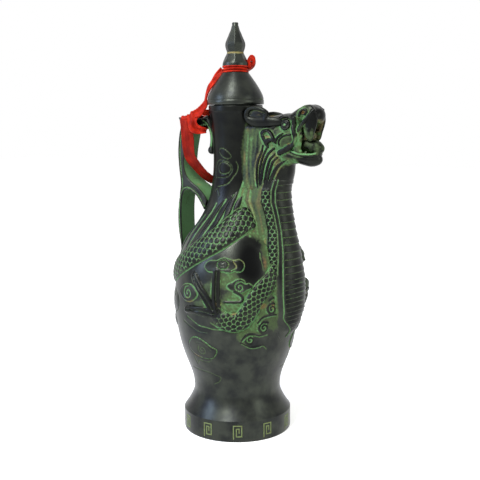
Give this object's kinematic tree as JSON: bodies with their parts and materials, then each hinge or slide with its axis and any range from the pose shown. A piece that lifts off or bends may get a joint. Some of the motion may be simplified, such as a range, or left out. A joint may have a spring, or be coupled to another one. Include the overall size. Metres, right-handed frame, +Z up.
{
  "type": "wine pot",
  "caption": "Tall bronze wine pot with a dragon-neck spout, a strap handle and a domed lid that lifts off, tied to the handle by a ribbon.",
  "frame": {"origin": "centre of the foot's underside, on the surface the pot stands on", "axes": "+Z up along the vessel's axis, +X towards the spout, -X towards the handle"},
  "size_m": [0.1189, 0.0934, 0.3003],
  "materials": {
    "dark_bronze": "polished dark bronze with a brown-black patina",
    "green_bronze": "bronze with pale green verdigris in every groove",
    "red_ribbon": "red satin ribbon"
  },
  "bodies": {
    "root": {"pot_foot": "dark_bronze", "pot_belly": "dark_bronze", "pot_body": "dark_bronze", "pot_neck": "dark_bronze", "base_plate": "dark_bronze", "spout_neck": "green_bronze", "dragon_head": "green_bronze", "horn_right": "dark_bronze", "horn_left": "dark_bronze", "handle": "green_bronze", "handle_scroll": "dark_bronze", "ribbon_tether": "red_ribbon", "ribbon_handle_tie": "red_ribbon", "ribbon_tail": "red_ribbon"},
    "lid": {"lid_dome": "dark_bronze", "lid_plug": "dark_bronze", "lid_finial": "dark_bronze", "ribbon_finial_tie": "red_ribbon", "ribbon_bow_loop": "red_ribbon"}
  },
  "joints": [
    {"name": "lid_lift", "type": "slide", "parent": "root", "child": "lid", "axis": [0, 0, 1], "range_m": [0, 0.016], "deforming": ["ribbon_tether"]}
  ]
}
